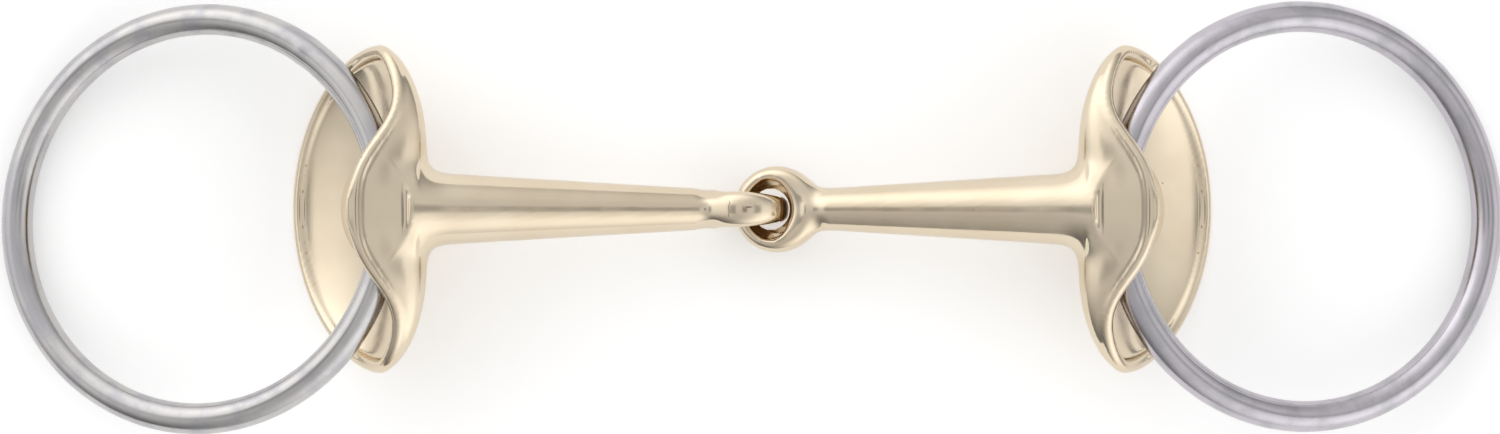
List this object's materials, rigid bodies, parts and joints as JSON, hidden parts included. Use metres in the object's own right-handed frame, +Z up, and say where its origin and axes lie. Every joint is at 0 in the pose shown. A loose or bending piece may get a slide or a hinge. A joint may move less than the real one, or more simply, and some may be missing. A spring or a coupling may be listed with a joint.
{
  "type": "snaffle bit",
  "caption": "Single-jointed loose-ring snaffle bit: tapered metal mouthpiece halves linked by eyes, oval lip guards at their ends, and round wire rings that swing.",
  "frame": {"origin": "on the table that the bit lies on, in the middle of the ground it covers", "axes": "+X along the bit to the right ring, +Y along the ring holes, +Z up from the table"},
  "size_m": [0.2896, 0.0824, 0.0312],
  "materials": {
    "bit_alloy": "polished, pale champagne gold",
    "ring_steel": "polished, with fine wear marks"
  },
  "bodies": {
    "left_half": {"left_mouthpiece_half": "bit_alloy"},
    "right_half": {"right_mouthpiece_half": "bit_alloy"},
    "left_loose_ring": {"left_ring": "ring_steel"},
    "right_loose_ring": {"right_ring": "ring_steel"}
  },
  "joints": [
    {"name": "middle_fold", "type": "hinge", "parent": "left_half", "child": "right_half", "pos_m": [-0.00164, 0.00148, 0.00807], "axis": [0, 1, 0], "range_deg": [-100, 140]},
    {"name": "left_ring_swing", "type": "hinge", "parent": "left_half", "child": "left_loose_ring", "pos_m": [-0.06834, 0.00148, 0.02257], "axis": [-0.027, 0.9967, -0.0768], "range_deg": [-14, 26]},
    {"name": "right_ring_swing", "type": "hinge", "parent": "right_half", "child": "right_loose_ring", "pos_m": [0.06843, 0.00148, 0.02266], "axis": [0.027, 0.999, -0.0351], "range_deg": [-38, 20]}
  ]
}
